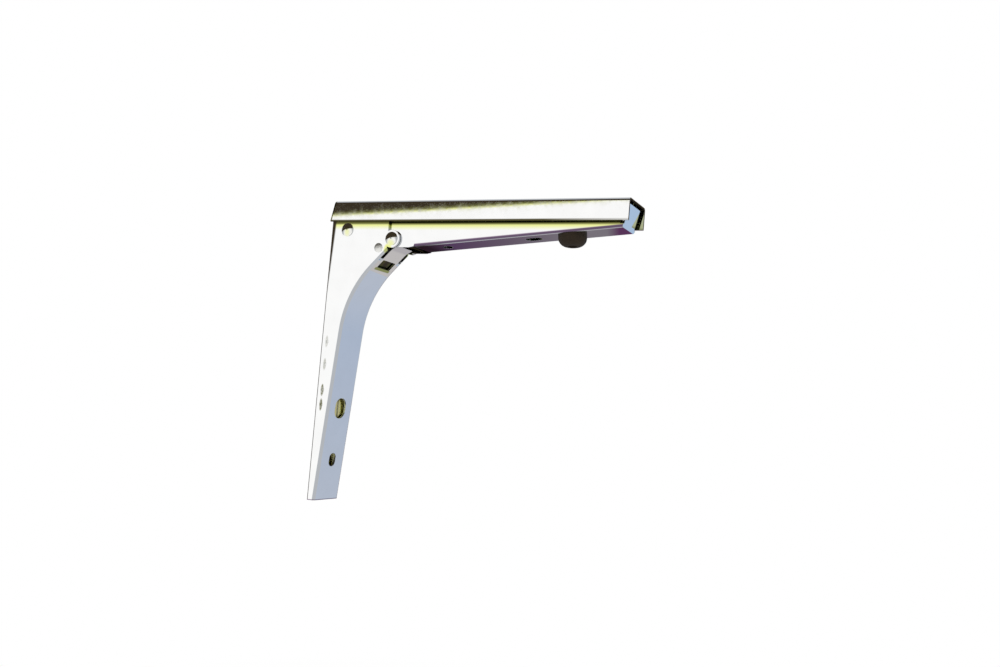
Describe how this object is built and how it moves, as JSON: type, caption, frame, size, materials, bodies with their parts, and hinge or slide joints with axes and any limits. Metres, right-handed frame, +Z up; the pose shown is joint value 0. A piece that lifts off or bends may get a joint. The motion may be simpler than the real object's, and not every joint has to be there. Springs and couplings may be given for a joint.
{
  "type": "folding shelf bracket",
  "caption": "Folding shelf bracket: an upright wall leg and a level shelf arm in folded polished steel sheet, joined by a hinge, with a push-to-release lock.",
  "frame": {"origin": "centre of the two main wall screw holes, on the wall plane", "axes": "+X away from the wall along the shelf arm, +Z up towards the shelf, Y along the wall across the bracket"},
  "size_m": [0.31, 0.04, 0.29],
  "materials": {
    "polished_steel": "polished stainless steel sheet",
    "rivet_steel": "turned stainless steel, satin",
    "spring_steel": "drawn spring wire",
    "washer_plastic": "plain moulded nylon",
    "bumper_rubber": "black moulded rubber"
  },
  "bodies": {
    "leg": {"leg_channel": "polished_steel", "wall_plate": "polished_steel", "hinge_pin": "rivet_steel", "hinge_washers": "washer_plastic", "spacer_rivet": "rivet_steel", "spacer_tube": "rivet_steel", "stop_rivet": "rivet_steel", "lock_pin": "rivet_steel", "lock_bush": "rivet_steel", "lock_washers": "washer_plastic", "lock_spring": "spring_steel"},
    "arm": {"arm_rail": "polished_steel", "arm_channel": "polished_steel", "hinge_bush": "rivet_steel", "catch_pin": "rivet_steel", "bumper": "bumper_rubber", "bumper_rivet": "rivet_steel"},
    "lever": {"lock_lever": "polished_steel"}
  },
  "joints": [
    {"name": "arm_fold", "type": "hinge", "parent": "leg", "child": "arm", "pos_m": [0.0708, 0, 0.07085], "axis": [0, 1, 0], "range_deg": [0, 106]},
    {"name": "lock_release", "type": "hinge", "parent": "leg", "child": "lever", "pos_m": [0.02, 0, 0.01525], "axis": [0, -1, 0], "range_deg": [0, 5.5], "stiffness_Nm_per_rad": 0.6, "springref_deg": -11.46, "deforming": ["lock_spring"]}
  ]
}
